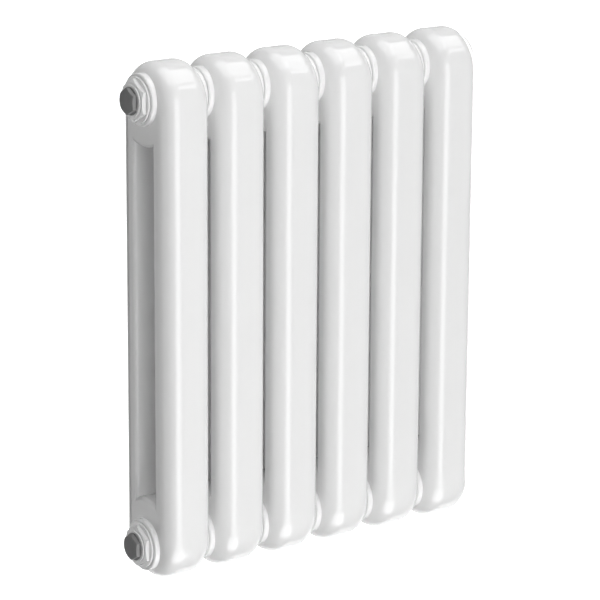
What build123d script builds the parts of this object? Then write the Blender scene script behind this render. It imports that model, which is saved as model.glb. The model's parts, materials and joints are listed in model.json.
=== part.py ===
"""Two-column cast iron radiator of six sections, joined by threaded nipples.

Millimetres. X runs along the row of sections, the front faces -Y and Z is up.
The origin is under the middle of the whole radiator, level with the bottom of the sections.
The left-hand end carries two reducing bushes with blanking plugs; the right-hand tappings are open.
"""

import os
from math import sqrt

from build123d import *

# Section casting
section_count = 6
section_height = 580.0
section_depth = 96.0
section_width = 60.0
section_edge_radius = 19.0
casting_wall = 4.5
slot_width = 36.0
slot_edge_radius = 4.0
header_radius = 52.5  # the slot's ends are arcs of this radius about the tappings

# Hubs and tappings, one pair on each side of each section
tapping_inset = 40.0  # from the top and from the bottom of the section
hub_radius = 29.0
hub_length = 6.0
hub_edge_radius = 2.5
tapping_radius = 20.2  # pitch radius of the 1 1/4 inch pipe thread
tapping_depth = 20.0
boss_wall = 5.0
tapping_chamfer = 1.0

# Nipples and the gaskets between hubs
thread_clearance = 0.05
thread_lead_chamfer = 0.8  # at the ends of every male thread
nipple_length = 36.0
nipple_wall = 4.0
lug_width = 5.0
lug_height = 3.0
joint_gasket_thickness = 1.0
gasket_bore_clearance = 0.8
gasket_rim_inset = 1.5  # from the hub's rim to the gasket's

# Reducing bushes
bush_gasket_thickness = 0.8
bush_flange_radius = 25.5
bush_flange_thickness = 1.7
bush_hex_flats = 41.0
bush_hex_height = 5.0
bush_collar_radius = 17.5
bush_collar_height = 1.2
bush_collar_edge_radius = 0.5
bush_thread_length = 15.0
bush_edge_radius = 0.5

# Blanking plugs and their sealing rings
plug_thread_radius = 9.9  # pitch radius of the 1/2 inch pipe thread
plug_thread_length = 10.5
plug_flange_radius = 15.4
plug_flange_thickness = 1.2
plug_hex_flats = 26.0
plug_hex_height = 4.7
plug_edge_chamfer = 0.3
seal_ring_thickness = 1.2
seal_ring_width = 2.9
seal_recess_depth = 1.0
seal_clearance = 0.2

hex_chamfer_angle = 60.0  # the sides of the turned chamfer, from the screw's axis
hex_chamfer_inset = 0.4  # from the flats to the chamfer's circle

# Places worked out from the sizes
section_pitch = section_width + 2 * hub_length + joint_gasket_thickness
bottom_tapping_z = tapping_inset
top_tapping_z = section_height - tapping_inset
hub_reach = section_width / 2 + hub_length
bush_flange_face = bush_gasket_thickness + bush_flange_thickness
bush_hex_face = bush_flange_face + bush_hex_height
bush_collar_face = bush_hex_face + bush_collar_height
plug_seat = bush_collar_face - seal_recess_depth + seal_ring_thickness
plug_flange_face = plug_seat + plug_flange_thickness
plug_head_face = plug_flange_face + plug_hex_height
end_fitting_shift = plug_head_face / 2  # centres the whole length, fittings and all, on the origin
first_section_x = end_fitting_shift - (section_count - 1) * section_pitch / 2
left_hub_face_x = first_section_x - hub_reach
tapping_levels = {"top": top_tapping_z, "bottom": bottom_tapping_z}
seal_ring_inner = plug_thread_radius + seal_clearance
seal_ring_outer = seal_ring_inner + seal_ring_width
seal_recess_radius = seal_ring_outer + seal_clearance


def corner_radius(flats):
    """Radius of the circle through the corners of a hexagon of this width over its flats."""
    return flats / sqrt(3)


def tapping_places():
    """The two tappings of a section, as places on its side plane (Y, Z)."""
    return Locations((0, bottom_tapping_z), (0, top_tapping_z))


def make_section():
    """One hollow casting centred on X = 0: two columns joined by a header at each end."""
    inner_depth = section_depth - 2 * casting_wall
    inner_height = section_height - 2 * casting_wall
    inner_half_width = section_width / 2 - casting_wall
    column_length = top_tapping_z - bottom_tapping_z
    boss_start = hub_reach - tapping_depth
    middle = (0, section_height / 2)

    with BuildPart() as waterway:
        with BuildSketch(Plane.YZ):
            with Locations(middle):
                SlotOverall(inner_height, inner_depth, rotation=90)
        extrude(amount=inner_half_width, both=True)
        rims = waterway.faces().filter_by(Axis.X).edges()
        fillet(rims, section_edge_radius - casting_wall)
        with BuildSketch(Plane.YZ):
            with Locations(middle):
                Rectangle(slot_width + 2 * casting_wall, column_length)
            with tapping_places():
                Circle(header_radius - casting_wall, mode=Mode.SUBTRACT)
        extrude(amount=section_width, both=True, mode=Mode.SUBTRACT)
        for side in (-1, 1):
            with BuildSketch(Plane.YZ.offset(side * boss_start)):
                with tapping_places():
                    Circle(tapping_radius + boss_wall)
            extrude(amount=side * section_width, mode=Mode.SUBTRACT)

    with BuildPart() as section:
        with BuildSketch(Plane.YZ):
            with Locations(middle):
                SlotOverall(section_height, section_depth, rotation=90)
        extrude(amount=section_width / 2, both=True)
        rims = section.faces().filter_by(Axis.X).edges()
        fillet(rims, section_edge_radius)
        with BuildSketch(Plane.YZ):
            with Locations(middle):
                Rectangle(slot_width, column_length)
            with tapping_places():
                Circle(header_radius, mode=Mode.SUBTRACT)
        extrude(amount=section_width, both=True, mode=Mode.SUBTRACT)
        side_faces = section.faces().filter_by(Axis.X)
        slot_rims = [wire for face in side_faces for wire in face.inner_wires()]
        fillet([edge for wire in slot_rims for edge in wire.edges()], slot_edge_radius)
        for side in (-1, 1):
            with BuildSketch(Plane.YZ.offset(side * (section_width / 2 - casting_wall / 2))):
                with tapping_places():
                    Circle(hub_radius)
            extrude(amount=side * (hub_length + casting_wall / 2))
        hub_faces = section.faces().filter_by(Axis.X).group_by(Axis.X)
        hub_rims = [face.outer_wire().edges() for group in (hub_faces[0], hub_faces[-1]) for face in group]
        fillet([edge for rim in hub_rims for edge in rim], hub_edge_radius)
        add(waterway.part, mode=Mode.SUBTRACT)
        with BuildSketch(Plane.YZ.offset(-hub_reach)):
            with tapping_places():
                Circle(tapping_radius)
        extrude(amount=2 * hub_reach, mode=Mode.SUBTRACT)
        outer_faces = section.faces().filter_by(Axis.X).group_by(Axis.X)
        mouths = [face.inner_wires() for group in (outer_faces[0], outer_faces[-1]) for face in group]
        mouth_edges = [edge for wires in mouths for wire in wires for edge in wire.edges()]
        chamfer(mouth_edges, tapping_chamfer)
    return section.part


def make_nipple():
    """Tube threaded both ways about X = 0, with two lugs inside for the assembly key."""
    outer = tapping_radius - thread_clearance
    inner = outer - nipple_wall
    with BuildPart() as nipple:
        with BuildSketch(Plane.YZ):
            Circle(outer)
        extrude(amount=nipple_length / 2, both=True)
        chamfer(nipple.faces().filter_by(Axis.X).edges(), thread_lead_chamfer)
        with BuildSketch(Plane.YZ):
            Circle(inner)
            with PolarLocations(inner, 2):
                Rectangle(2 * lug_height, lug_width, mode=Mode.SUBTRACT)
        extrude(amount=nipple_length, both=True, mode=Mode.SUBTRACT)
    return nipple.part


def make_joint_gasket():
    """Flat ring between two hubs, centred on X = 0."""
    with BuildPart() as gasket:
        with BuildSketch(Plane.YZ):
            Circle(hub_radius - hub_edge_radius - gasket_rim_inset)
            Circle(tapping_radius + tapping_chamfer + gasket_bore_clearance, mode=Mode.SUBTRACT)
        extrude(amount=joint_gasket_thickness / 2, both=True)
    return gasket.part


def make_bush_gasket():
    """Flat ring on the hub's face at X = 0, under the bush's flange."""
    with BuildPart() as gasket:
        with BuildSketch(Plane.YZ):
            Circle(bush_flange_radius - bush_edge_radius)
            Circle(tapping_radius + tapping_chamfer + gasket_bore_clearance, mode=Mode.SUBTRACT)
        extrude(amount=-bush_gasket_thickness)
    return gasket.part


def make_bush():
    """Hexagon-headed reducing bush screwed in from the hub's face at X = 0, its head towards -X."""
    with BuildPart() as bush:
        with BuildSketch(Plane.YZ.offset(-bush_hex_face)):
            RegularPolygon(corner_radius(bush_hex_flats), 6, rotation=30)
        extrude(amount=bush_hex_height)
        with BuildSketch(Plane.YZ.offset(-bush_hex_face)):
            Circle(bush_hex_flats / 2 - hex_chamfer_inset)
        extrude(amount=bush_hex_height, taper=-hex_chamfer_angle, mode=Mode.INTERSECT)
        with BuildSketch(Plane.YZ.offset(-bush_flange_face)):
            Circle(bush_flange_radius)
        extrude(amount=bush_flange_thickness)
        flange_rim = bush.edges().filter_by(GeomType.CIRCLE).sort_by(SortBy.RADIUS)[-2:]
        fillet(flange_rim.sort_by(Axis.X)[0], bush_edge_radius)
        with BuildSketch(Plane.YZ.offset(-bush_collar_face)):
            Circle(bush_collar_radius)
        extrude(amount=bush_collar_height)
        fillet(bush.edges().filter_by(GeomType.CIRCLE).group_by(Axis.X)[0], bush_collar_edge_radius)
        with BuildSketch(Plane.YZ.offset(-bush_gasket_thickness)):
            Circle(tapping_radius - thread_clearance)
        extrude(amount=bush_gasket_thickness + bush_thread_length)
        chamfer(bush.edges().group_by(Axis.X)[-1], thread_lead_chamfer)
        with BuildSketch(Plane.YZ.offset(-bush_collar_face)):
            Circle(plug_thread_radius)
        extrude(amount=bush_collar_face + bush_thread_length, mode=Mode.SUBTRACT)
        with BuildSketch(Plane.YZ.offset(-bush_collar_face)):
            Circle(seal_recess_radius)
        extrude(amount=seal_recess_depth, mode=Mode.SUBTRACT)
    return bush.part


def make_seal_ring():
    """Sealing ring at the bottom of the bush's recess, standing a little proud of its collar."""
    with BuildPart() as ring:
        with BuildSketch(Plane.YZ.offset(-plug_seat)):
            Circle(seal_ring_outer)
            Circle(seal_ring_inner, mode=Mode.SUBTRACT)
        extrude(amount=seal_ring_thickness)
    return ring.part


def make_plug():
    """Hexagon-headed blanking plug, its flange seated on the sealing ring."""
    with BuildPart() as plug:
        with BuildSketch(Plane.YZ.offset(-plug_head_face)):
            RegularPolygon(corner_radius(plug_hex_flats), 6, rotation=30)
        extrude(amount=plug_hex_height)
        with BuildSketch(Plane.YZ.offset(-plug_head_face)):
            Circle(plug_hex_flats / 2 - hex_chamfer_inset)
        extrude(amount=plug_hex_height, taper=-hex_chamfer_angle, mode=Mode.INTERSECT)
        with BuildSketch(Plane.YZ.offset(-plug_flange_face)):
            Circle(plug_flange_radius)
        extrude(amount=plug_flange_thickness)
        flange_rim = plug.edges().filter_by(GeomType.CIRCLE).sort_by(SortBy.RADIUS)[-2:]
        chamfer(flange_rim.sort_by(Axis.X)[0], plug_edge_chamfer)
        with BuildSketch(Plane.YZ.offset(-plug_seat)):
            Circle(plug_thread_radius - thread_clearance)
        extrude(amount=plug_thread_length)
        chamfer(plug.edges().group_by(Axis.X)[-1], thread_lead_chamfer)
    return plug.part


def save(part, name, x, z=0.0):
    """Writes one piece, moved from its own frame to its place in the radiator."""
    placed = part.moved(Location((x, 0, z)))
    placed.label = name
    export_step(placed, f"parts/{name}.step")


os.makedirs("parts", exist_ok=True)

casting = make_section()
for number in range(1, section_count + 1):
    save(casting, f"section_{number}", first_section_x + (number - 1) * section_pitch)

nipple_casting, gasket_ring = make_nipple(), make_joint_gasket()
for number in range(1, section_count):
    joint_x = first_section_x + (number - 0.5) * section_pitch
    for level, level_z in tapping_levels.items():
        save(nipple_casting, f"{level}_nipple_{number}", joint_x, level_z)
        save(gasket_ring, f"{level}_joint_gasket_{number}", joint_x, level_z)

end_pieces = {
    "bush": make_bush(),
    "bush_gasket": make_bush_gasket(),
    "plug": make_plug(),
    "plug_seal_ring": make_seal_ring(),
}
for level, level_z in tapping_levels.items():
    for piece_name, piece in end_pieces.items():
        save(piece, f"{level}_{piece_name}", left_hub_face_x, level_z)
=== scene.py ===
"""Looks of the two-column cast iron radiator: enamel, screwed fittings, plain floor and soft studio light.

Metres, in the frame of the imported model: X along the sections, the front faces -Y, Z is up.
Turned fittings are made in millimetres on a bench, with Z along the screw's axis, pointing out of the hub,
and the fitting's outer face at Z = 0. Then each is set in its place.
"""

import json
from math import cos, radians, sin, sqrt, tan

import bmesh
import bpy
from mathutils import Matrix, Vector


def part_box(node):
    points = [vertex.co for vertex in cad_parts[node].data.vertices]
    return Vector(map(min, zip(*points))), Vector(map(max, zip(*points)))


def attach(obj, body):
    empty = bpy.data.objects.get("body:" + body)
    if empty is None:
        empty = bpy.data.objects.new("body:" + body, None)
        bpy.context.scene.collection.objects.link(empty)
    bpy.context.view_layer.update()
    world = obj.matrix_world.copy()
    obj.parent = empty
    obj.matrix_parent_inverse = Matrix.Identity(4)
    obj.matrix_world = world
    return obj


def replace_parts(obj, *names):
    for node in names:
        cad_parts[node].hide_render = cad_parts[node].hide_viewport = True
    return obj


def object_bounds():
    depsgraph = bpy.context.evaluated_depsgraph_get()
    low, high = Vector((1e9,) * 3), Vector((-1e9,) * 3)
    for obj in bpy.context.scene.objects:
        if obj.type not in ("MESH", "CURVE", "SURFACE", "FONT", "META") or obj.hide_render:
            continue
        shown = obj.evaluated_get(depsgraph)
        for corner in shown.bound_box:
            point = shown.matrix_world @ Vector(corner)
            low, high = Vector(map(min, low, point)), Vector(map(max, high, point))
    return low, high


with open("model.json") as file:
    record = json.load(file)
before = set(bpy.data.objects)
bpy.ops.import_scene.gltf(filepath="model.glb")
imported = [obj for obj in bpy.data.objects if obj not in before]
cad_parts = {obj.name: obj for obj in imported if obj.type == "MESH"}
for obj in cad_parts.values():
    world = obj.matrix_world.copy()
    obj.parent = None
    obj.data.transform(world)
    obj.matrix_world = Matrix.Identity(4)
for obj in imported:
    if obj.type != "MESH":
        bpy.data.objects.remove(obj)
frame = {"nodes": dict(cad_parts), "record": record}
cad_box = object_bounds()


# ---------------------------------------------------------------- shader maths

class Value:
    """An output that varies over a surface; arithmetic on it adds Math nodes."""

    def __init__(self, nodes, socket):
        self.nodes = nodes
        self.socket = socket

    def math(self, operation, other):
        return self.nodes.value("ShaderNodeMath", {"operation": operation}, {0: self, 1: other})

    def __add__(self, other):
        return self.math("ADD", other)

    def __mul__(self, other):
        return self.math("MULTIPLY", other)

    __radd__ = __add__
    __rmul__ = __mul__


class Nodes:
    """A node tree that is being made, for a material or for the studio's surroundings."""

    def __init__(self, owner, output_kind, shader_kind):
        owner.use_nodes = True
        self.tree = owner.node_tree
        self.tree.nodes.clear()
        self.shader = self.node(shader_kind, {}, {})
        self.node(output_kind, {}, {0: Value(self, self.shader.outputs[0])})

    def node(self, kind, settings, inputs):
        """The one way that a node is made: its settings first, then the values or links of its sockets."""
        made = self.tree.nodes.new(kind)
        for key, setting in settings.items():
            setattr(made, key, setting)
        for key, value in inputs.items():
            self.feed(made.inputs[key], value)
        return made

    def value(self, kind, settings, inputs, output=0):
        """What such a node gives at one of its outputs."""
        return Value(self, self.node(kind, settings, inputs).outputs[output])

    def feed(self, socket, value):
        if isinstance(value, Value):
            self.tree.links.new(value.socket, socket)
        else:
            socket.default_value = value

    def surface(self, **inputs):
        """Feeds the shader's own sockets, each named in lower case with underscores."""
        for words, value in inputs.items():
            name = words.replace("_", " ").title().replace("Ior", "IOR")
            self.feed(self.shader.inputs[name], value)


class Finish(Nodes):
    """A material with one principled shader: constants first, and what varies over the surface after."""

    def __init__(self, name, **constants):
        self.material = bpy.data.materials.new(name)
        super().__init__(self.material, "ShaderNodeOutputMaterial", "ShaderNodeBsdfPrincipled")
        self.surface(**constants)

    def noise(self, scale, detail):
        """Cloudy noise from 0 to 1, with this many lumps to the metre."""
        place = self.value("ShaderNodeTexCoord", {}, {}, "Object")
        inputs = {"Vector": place, "Scale": scale, "Detail": detail}
        return self.value("ShaderNodeTexNoise", {"noise_dimensions": "3D"}, inputs, "Fac")

    def mix(self, share, first, second):
        """A colour between two colours."""
        inputs = {0: share, 6: first, 7: second}
        return self.value("ShaderNodeMix", {"data_type": "RGBA"}, inputs, 2)

    def bump(self, height, distance):
        """A normal from a height, of which 1 stands for this many metres."""
        return self.value("ShaderNodeBump", {}, {"Height": height, "Distance": distance}, "Normal")


def grey(tone):
    return (tone, tone, tone, 1.0)


def white_enamel():
    """Smooth gloss enamel with a faint orange peel, over a casting that is not quite flat underneath."""
    made = Finish("white_enamel", ior=1.5, coat_weight=0.35, coat_roughness=0.02)
    cloud = made.noise(9.0, 3.0)
    peel = made.noise(420.0, 2.0)
    wave = made.noise(38.0, 1.0)
    made.surface(
        base_color=made.mix(cloud, grey(0.80), grey(0.83)),
        roughness=0.02 + 0.015 * cloud,
        normal=made.bump(0.06 * peel + wave, 0.00002),
    )
    return made.material


def gasket_paint():
    """The rim of a fibre gasket under the same paint, a little duller where it has sunk in."""
    made = Finish("gasket_paint", ior=1.5)
    fibre = made.noise(900.0, 3.0)
    made.surface(
        base_color=made.mix(fibre, grey(0.50), grey(0.62)),
        roughness=0.35 + 0.2 * fibre,
        normal=made.bump(fibre, 0.0001),
    )
    return made.material


def bare_iron():
    """Black oiled malleable iron of the nipples."""
    made = Finish("bare_iron", metallic=0.6)
    skin = made.noise(260.0, 4.0)
    made.surface(
        base_color=made.mix(skin, grey(0.035), grey(0.075)),
        roughness=0.38 + 0.2 * skin,
        normal=made.bump(skin, 0.0002),
    )
    return made.material


def plug_steel():
    """Dark grey phosphated steel of the blanking plugs."""
    made = Finish("plug_steel", ior=1.5)
    grain = made.noise(1500.0, 3.0)
    cloud = made.noise(60.0, 2.0)
    made.surface(
        base_color=made.mix(cloud, grey(0.16), grey(0.21)),
        roughness=0.42 + 0.12 * grain,
        normal=made.bump(grain, 0.00004),
    )
    return made.material


def ring_rubber():
    """Matt black rubber of the sealing rings."""
    made = Finish("ring_rubber", ior=1.45)
    bloom = made.noise(300.0, 3.0)
    made.surface(
        base_color=made.mix(bloom, grey(0.018), grey(0.035)),
        roughness=0.6 + 0.2 * bloom,
        normal=made.bump(bloom, 0.00005),
    )
    return made.material


# ---------------------------------------------------------------- studio

def direction(azimuth, elevation):
    """A unit vector away from the radiator: azimuth turns from the front towards the open tappings."""
    a, e = radians(azimuth), radians(elevation)
    return Vector((sin(a) * cos(e), -cos(a) * cos(e), sin(e)))


def make_camera():
    """Long lens, from the plugged end and a little above."""
    azimuth, elevation, roll = -35.684, 14.367, radians(0.36)
    aim, distance = Vector((0.0059, 0.0, 0.340)), 3.221
    back = direction(azimuth, elevation)
    level_right = Vector((cos(radians(azimuth)), sin(radians(azimuth)), 0.0))
    level_up = back.cross(level_right)
    right = level_right * cos(roll) + level_up * sin(roll)
    up = back.cross(right)
    data = bpy.data.cameras.new("camera")
    data.sensor_width = 36.0
    data.lens = 172.4
    data.shift_x = -0.0044
    data.shift_y = -0.0763
    camera = bpy.data.objects.new("camera", data)
    turn = Matrix((right, up, back)).transposed().to_4x4()
    camera.matrix_world = Matrix.Translation(aim + back * distance) @ turn
    bpy.context.scene.collection.objects.link(camera)
    bpy.context.scene.camera = camera


def soft_light(name, azimuth, elevation, width, height, watts, shades=True, shines=True, distance=3.0):
    """A rectangular soft box which faces the middle of the radiator.

    shades lets it light the matt body of each surface, and shines lets it show in the gloss.
    """
    middle = (cad_box[0] + cad_box[1]) / 2
    data = bpy.data.lights.new(name, "AREA")
    data.shape = "RECTANGLE"
    data.size, data.size_y = width, height
    data.energy = watts
    light = bpy.data.objects.new(name, data)
    light.location = middle + distance * direction(azimuth, elevation)
    light.rotation_euler = (middle - light.location).to_track_quat("-Z", "Y").to_euler()
    light.visible_camera = False
    light.visible_diffuse = shades
    light.visible_glossy = shines
    bpy.context.scene.collection.objects.link(light)


def make_lights():
    """A bright front and top and a dim plugged end, with boxes and cards that only show in the gloss."""
    soft_light("front_high", 0.0, 45.0, 1.6, 1.6, 28.0, shines=False)
    soft_light("front_left", -35.0, 10.0, 1.6, 1.6, 27.0, shines=False)
    soft_light("left", -90.0, 15.0, 1.6, 1.6, 5.0, shines=False)
    soft_light("low_front", 0.0, -50.0, 1.6, 1.6, 56.0, shines=False)
    soft_light("low_back", 180.0, -50.0, 1.6, 1.6, 15.0, shines=False)
    soft_light("back_fill", 180.0, 5.0, 1.6, 1.6, 40.0, shines=False)
    soft_light("top", 0.0, 85.0, 2.8, 2.8, 42.0)
    soft_light("back", 170.0, 40.0, 5.0, 2.0, 9.0)
    soft_light("front_strip", -4.0, -3.0, 1.8, 3.2, 44.0, shades=False)
    soft_light("low_card", -3.0, -52.0, 3.2, 1.95, 70.0, shades=False)
    soft_light("top_panel", 80.0, 57.0, 5.3, 2.6, 90.0, shades=False, distance=8.0)
    soft_light("top_strip", 52.0, 42.0, 4.4, 0.85, 30.0, shades=False, distance=8.0)
    soft_light("back_card", 144.0, -28.0, 6.0, 4.6, 85.0, shades=False)
    soft_light("left_card", -115.0, -11.0, 3.5, 2.1, 29.0, shades=False)
    soft_light("right_card", 106.0, -2.0, 1.95, 2.4, 42.0, shades=False)


def make_world():
    """A dim glow from beyond the open tappings, which fades to black towards the plugged end."""
    world = bpy.data.worlds.new("studio")
    made = Nodes(world, "ShaderNodeOutputWorld", "ShaderNodeBackground")
    heading = made.value("ShaderNodeTexCoord", {}, {}, "Generated")
    along = made.value("ShaderNodeSeparateXYZ", {}, {"Vector": heading}, "X")
    glow = made.value("ShaderNodeMapRange", {}, {"Value": along, "From Min": -0.6, "From Max": 0.6}, "Result")
    made.surface(color=glow, strength=0.37)
    bpy.context.scene.world = world


def make_floor():
    """A plain pale floor, below the radiator as it hangs, in a wide room of the same white.

    Only the camera sees it, so it lends the radiator neither light nor gloss.
    """
    floor_level, room_width = -0.12, 40.0
    bm = bmesh.new()
    bmesh.ops.create_cube(bm, size=room_width)
    bmesh.ops.translate(bm, verts=bm.verts, vec=(0.0, 0.0, room_width / 2 + floor_level))
    mesh = bpy.data.meshes.new("floor")
    bm.to_mesh(mesh)
    bm.free()
    white = Finish(
        "floor_white", base_color=grey(0.92), roughness=1.0,
        emission_color=grey(1.0), emission_strength=1.0,
    )
    mesh.materials.append(white.material)
    floor = bpy.data.objects.new("floor", mesh)
    bpy.context.scene.collection.objects.link(floor)
    floor.visible_glossy = False
    floor.visible_diffuse = False
    floor.visible_shadow = False


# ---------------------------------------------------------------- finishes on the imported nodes

def give_finishes():
    """Makes the finishes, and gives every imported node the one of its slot."""
    finishes = {
        "white_enamel": white_enamel(),
        "white_bush": white_enamel(),
        "bare_iron": bare_iron(),
        "joint_paint": gasket_paint(),
        "dark_grey_plug": plug_steel(),
        "black_rubber": ring_rubber(),
    }
    for row in frame["record"]["subparts"]:
        for slot in frame["nodes"][row["node"]].material_slots:
            slot.material = finishes[row["material_slot"]]
    return finishes


# ---------------------------------------------------------------- fittings, in millimetres

SECTIONS = 6
MILLIMETRE = 0.001  # in metres

RING_POINTS = 96
THREAD_STEPS = 72  # to a turn
SPARE_TURNS = 2  # wound past each end of a thread, and cut off again
TOOTH_FOOT, TOOTH_CREST, TOOTH_CREST_END = 0.14, 0.44, 0.70  # along a thread's pitch, as shares of it
WELD_GAP = 0.0001  # points nearer than this are made one
HELD_APART = 10.0  # between two rings while they are joined
SHARP_EDGE = radians(25.0)  # an edge that turns more than this is rounded
SMOOTH_EDGE = radians(35.0)  # an edge that turns less than this is shaded as a curve
CHAMFER_ANGLE = radians(60.0)  # the sides of a hexagon's turned chamfer, from the axis
CHAMFER_INSET = 0.4  # from a hexagon's flats to the chamfer's circle

# Crests and roots are the radii of threads. A head has a width over its flats, a flange or a collar has a
# radius, and the second number of each is its thickness.
HALF_INCH_PITCH = 1.814
PLUG_FLATS, PLUG_HEAD = 26.0, 4.7
PLUG_FLANGE_RADIUS, PLUG_FLANGE = 15.4, 1.2
PLUG_FLANGE_CHAMFER = 0.3
PLUG_CREST, PLUG_ROOT = 9.85, 8.75
PLUG_NECK = 0.4  # plain shank between the flange and the thread
PLUG_THREAD = 10.5
PLUG_ROUNDING = 0.18

TAPPING_PITCH = 2.309
BUSH_CREST, BUSH_ROOT = 20.15, 18.8
BUSH_BORE_CREST, BUSH_BORE_ROOT = 9.9, 10.9
BUSH_RECESS_RADIUS, BUSH_RECESS = 13.2, 1.0
BUSH_COLLAR_RADIUS, BUSH_COLLAR = 17.5, 1.2
BUSH_FLATS, BUSH_HEAD = 41.0, 5.0
BUSH_FLANGE_RADIUS, BUSH_FLANGE = 25.5, 1.7
BUSH_RIM_CHAMFER = 0.4
BUSH_THREAD = 15.0
BUSH_ROUNDING = 0.2

SEAL_INNER, SEAL_OUTER, SEAL_THICKNESS, SEAL_ROUNDING = 10.1, 13.0, 1.2, 0.4
GASKET_INNER, GASKET_OUTER = 22.0, 25.0
BUSH_GASKET, BUSH_GASKET_ROUNDING = 0.8, 0.25
JOINT_GASKET, JOINT_GASKET_ROUNDING = 1.0, 0.35

OPEN_CREST, OPEN_ROOT = 19.0, 20.15
OPEN_CHAMFER, OPEN_DEPTH = 1.0, 19.8
SLEEVE_RADIUS = 20.5  # of the sleeve that carries an open tapping's thread, hidden in the wall


def ring(bm, radius, height, sides=RING_POINTS, chamfer_from=None):
    """A ring about Z, round or many-sided, in as many points as every other ring.

    chamfer_from is the radius from which a turned chamfer takes the corners down.
    """
    before = set(bm.edges)
    place = Matrix.Translation((0.0, 0.0, height))
    bmesh.ops.create_circle(bm, segments=sides, radius=radius, matrix=place)
    edges = [edge for edge in bm.edges if edge not in before]
    if sides < RING_POINTS:
        bmesh.ops.subdivide_edges(bm, edges=edges, cuts=RING_POINTS // sides - 1)
        edges = [edge for edge in bm.edges if edge not in before]
    if chamfer_from is not None:
        for vert in {vert for edge in edges for vert in edge.verts}:
            vert.co.z -= (vert.co.xy.length - chamfer_from) / tan(CHAMFER_ANGLE)
    return edges


def hexagon_head(bm, flats, face, height):
    """The rings of a hexagon head with a turned chamfer, from its outer face inwards."""
    chamfer_circle = flats / 2 - CHAMFER_INSET
    corner = flats / sqrt(3.0)
    return [
        ring(bm, chamfer_circle, face),
        ring(bm, corner, face, sides=6, chamfer_from=chamfer_circle),
        ring(bm, corner, face - height, sides=6),
    ]


def flange(bm, radius, face, thickness, edge):
    """The rings of a round flange with a small chamfer on its outer rim."""
    return [
        ring(bm, radius - edge, face),
        ring(bm, radius, face - edge),
        ring(bm, radius, face - thickness),
    ]


def join(bm, rings):
    """Walls from each ring to the next.

    The second ring is held away from the first meanwhile, because rings in one plane can be joined crosswise.
    """
    for first, second in zip(rings, rings[1:]):
        places = {vert: vert.co.copy() for edge in second for vert in edge.verts}
        for vert in places:
            vert.co.z -= HELD_APART
        bmesh.ops.bridge_loops(bm, edges=first + second)
        for vert, place in places.items():
            vert.co = place


def added_since(bm, before):
    """The points that have been added since that set of them was taken."""
    return [vert for vert in bm.verts if vert not in before]


def cut_off(bm, verts, height, outward):
    """Cuts off what belongs to these points and lies above a height, or below it if outward is -1."""
    held = set(verts)
    edges = [edge for edge in bm.edges if not held.isdisjoint(edge.verts)]
    faces = [face for face in bm.faces if not held.isdisjoint(face.verts)]
    bmesh.ops.bisect_plane(
        bm, geom=[*verts, *edges, *faces],
        plane_co=(0.0, 0.0, height), plane_no=(0.0, 0.0, outward), clear_outer=True,
    )


def fade_ends(verts, crest, root, bottom, top):
    """Lets a thread's tooth rise from its root at 45 degrees at both ends."""
    side = 1.0 if crest > root else -1.0
    for vert in verts:
        depth = min(vert.co.z - bottom, top - vert.co.z)
        limit = root + side * max(depth, 0.0)
        radius = vert.co.xy.length
        if side * (radius - limit) > 0.0:
            vert.co.xy *= limit / radius


def thread(bm, crest, root, pitch, bottom, top):
    """A right-handed screw thread about Z that fades out at both ends; returns its bottom and top rings.

    On a thread cut in a bore the crest is inside the root.
    """
    before = set(bm.verts)
    tooth = ((root, 0.0), (root, TOOTH_FOOT), (crest, TOOTH_CREST), (crest, TOOTH_CREST_END))
    turns = range(-SPARE_TURNS, int((top - bottom) / pitch) + SPARE_TURNS)
    points = [
        bm.verts.new((radius, 0.0, bottom + (turn + share) * pitch))
        for turn in turns
        for radius, share in tooth
    ]
    line = [bm.edges.new(pair) for pair in zip(points, points[1:])]
    bmesh.ops.spin(
        bm, geom=points + line, axis=(0.0, 0.0, 1.0), dvec=(0.0, 0.0, pitch / THREAD_STEPS),
        angle=radians(360.0), steps=THREAD_STEPS, use_merge=False,
    )
    bmesh.ops.remove_doubles(bm, verts=added_since(bm, before), dist=WELD_GAP)
    cut_off(bm, added_since(bm, before), bottom, -1.0)
    cut_off(bm, added_since(bm, before), top, 1.0)
    verts = added_since(bm, before)
    fade_ends(verts, crest, root, bottom, top)
    held = set(verts)
    rims = [edge for edge in bm.edges if edge.is_boundary and not held.isdisjoint(edge.verts)]
    middle = (bottom + top) / 2
    low = [edge for edge in rims if edge.verts[0].co.z < middle]
    high = [edge for edge in rims if edge.verts[0].co.z > middle]
    return low, high


def soften(bm, width, keep=frozenset(), segments=2):
    """Rounds every sharp edge, but none that meets a point in keep."""
    bmesh.ops.recalc_face_normals(bm, faces=bm.faces)
    bm.normal_update()
    edges = [
        edge for edge in bm.edges
        if edge.calc_face_angle(0.0) > SHARP_EDGE and keep.isdisjoint(edge.verts)
    ]
    bmesh.ops.bevel(
        bm, geom=edges, offset=width, offset_type="OFFSET", affect="EDGES",
        segments=segments, profile=0.5, material=-1, clamp_overlap=True,
    )


def make_plug():
    """Hexagon head, thin round flange and a half inch pipe thread."""
    bm = bmesh.new()
    flange_face = -PLUG_HEAD
    seat = flange_face - PLUG_FLANGE
    low, high = thread(bm, PLUG_CREST, PLUG_ROOT, HALF_INCH_PITCH, seat - PLUG_THREAD, seat - PLUG_NECK)
    thread_points = set(bm.verts)
    head = hexagon_head(bm, PLUG_FLATS, 0.0, PLUG_HEAD)
    rim = flange(bm, PLUG_FLANGE_RADIUS, flange_face, PLUG_FLANGE, PLUG_FLANGE_CHAMFER)
    join(bm, [*head, *rim, ring(bm, PLUG_ROOT, seat), high])
    for end in (head[0], low):
        bmesh.ops.contextual_create(bm, geom=end)
    soften(bm, PLUG_ROUNDING, keep=thread_points)
    return bm


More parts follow.
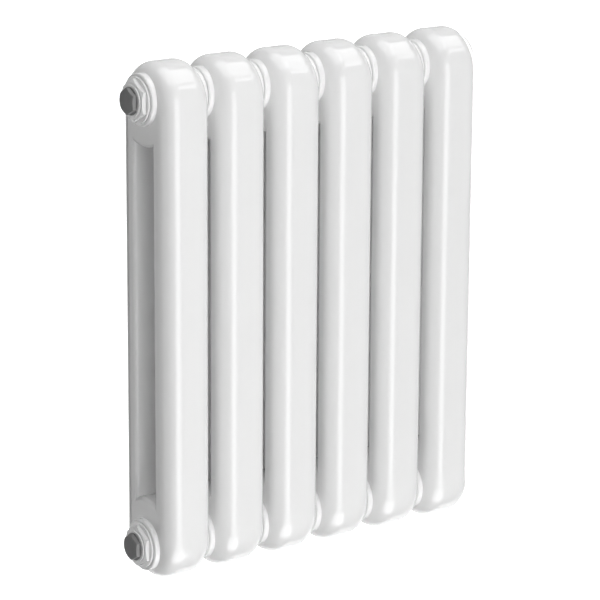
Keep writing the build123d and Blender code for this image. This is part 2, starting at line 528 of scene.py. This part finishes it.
def make_bush():
    """Hexagon head on a round flange, a collar with the sealing ring's recess, and threads inside and out."""
    bm = bmesh.new()
    head_face = -BUSH_COLLAR
    flange_face = head_face - BUSH_HEAD
    seat = flange_face - BUSH_FLANGE
    hub_face = seat - BUSH_GASKET
    end = hub_face - BUSH_THREAD
    bore_low, bore_high = thread(bm, BUSH_BORE_CREST, BUSH_BORE_ROOT, HALF_INCH_PITCH, end, -BUSH_RECESS)
    low, high = thread(bm, BUSH_CREST, BUSH_ROOT, TAPPING_PITCH, end, hub_face)
    thread_points = set(bm.verts)
    recess = [ring(bm, BUSH_RECESS_RADIUS, -BUSH_RECESS), ring(bm, BUSH_RECESS_RADIUS, 0.0)]
    collar = flange(bm, BUSH_COLLAR_RADIUS, 0.0, BUSH_COLLAR, BUSH_RIM_CHAMFER)
    head = hexagon_head(bm, BUSH_FLATS, head_face, BUSH_HEAD)
    rim = flange(bm, BUSH_FLANGE_RADIUS, flange_face, BUSH_FLANGE, BUSH_RIM_CHAMFER)
    join(bm, [bore_high, *recess, *collar, *head, *rim, ring(bm, BUSH_ROOT, seat), high])
    join(bm, [low, bore_low])
    soften(bm, BUSH_ROUNDING, keep=thread_points)
    return bm


def make_flat_ring(inner, outer, thickness, rounding):
    """Rubber or fibre ring with rounded edges."""
    bm = bmesh.new()
    rim = [ring(bm, outer, 0.0), ring(bm, outer, -thickness)]
    bore = [ring(bm, inner, -thickness), ring(bm, inner, 0.0)]
    join(bm, [*rim, *bore, rim[0]])
    soften(bm, rounding, segments=4)
    return bm


def make_tapping_thread():
    """The thread cut in an open tapping, on a sleeve let into the wall of the bore."""
    bm = bmesh.new()
    low, high = thread(bm, OPEN_CREST, OPEN_ROOT, TAPPING_PITCH, -OPEN_DEPTH, -OPEN_CHAMFER)
    join(bm, [high, ring(bm, SLEEVE_RADIUS, -OPEN_CHAMFER), ring(bm, SLEEVE_RADIUS, -OPEN_DEPTH), low])
    return bm


def from_bench(node, end, outer_x):
    """From the bench to the screw axis of a CAD node: end is -1 if it faces the left and 1 if the right."""
    low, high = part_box(node)
    turn = Matrix(((0.0, 0.0, end), (end, 0.0, 0.0), (0.0, 1.0, 0.0))).to_4x4()
    place = Matrix.Translation((outer_x, (low[1] + high[1]) / 2, (low[2] + high[2]) / 2))
    return place @ turn @ Matrix.Scale(MILLIMETRE, 4)


def add_piece(name, bm, place, body, slot, finishes):
    """Sets a piece from the bench in its place, and lets it ride on its body."""
    bmesh.ops.transform(bm, matrix=place, verts=bm.verts)
    bmesh.ops.recalc_face_normals(bm, faces=bm.faces)
    mesh = bpy.data.meshes.new(name)
    bm.to_mesh(mesh)
    bm.free()
    mesh.shade_smooth()
    mesh.set_sharp_from_angle(angle=SMOOTH_EDGE)
    mesh.materials.append(finishes[slot])
    piece = bpy.data.objects.new(name, mesh)
    bpy.context.scene.collection.objects.link(piece)
    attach(piece, body)
    return piece


def stand_in(node, making, bm, finishes):
    """Puts a finer piece in the place of a CAD node that faces the left, on its body and with its finish.

    making is the word for how the piece was made, which ends its name.
    """
    record = frame["record"]
    slot = next(row["material_slot"] for row in record["subparts"] if row["node"] == node)
    body = next(name for name, held in record["behaviour"]["bodies"].items() if node in held)
    place = from_bench(node, -1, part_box(node)[0][0])
    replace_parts(add_piece(f"{node}_{making}", bm, place, body, slot, finishes), node)


def make_fittings(finishes):
    """Bushes, plugs and rings at the left-hand end, every gasket, and the open tappings at the right."""
    right_hub_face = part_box(f"section_{SECTIONS}")[1][0]
    for level in ("top", "bottom"):
        seal = make_flat_ring(SEAL_INNER, SEAL_OUTER, SEAL_THICKNESS, SEAL_ROUNDING)
        gasket = make_flat_ring(GASKET_INNER, GASKET_OUTER, BUSH_GASKET, BUSH_GASKET_ROUNDING)
        stand_in(f"{level}_bush", "turned", make_bush(), finishes)
        stand_in(f"{level}_plug", "turned", make_plug(), finishes)
        stand_in(f"{level}_plug_seal_ring", "moulded", seal, finishes)
        stand_in(f"{level}_bush_gasket", "pressed", gasket, finishes)
        for number in range(1, SECTIONS):
            gasket = make_flat_ring(GASKET_INNER, GASKET_OUTER, JOINT_GASKET, JOINT_GASKET_ROUNDING)
            stand_in(f"{level}_joint_gasket_{number}", "pressed", gasket, finishes)
        place = from_bench(f"{level}_bush", 1, right_hub_face)
        add_piece(f"{level}_open_thread", make_tapping_thread(), place, "radiator", "white_enamel", finishes)


bpy.context.scene.view_settings.view_transform = "Standard"
make_camera()
make_world()
make_floor()
make_lights()
make_fittings(give_finishes())
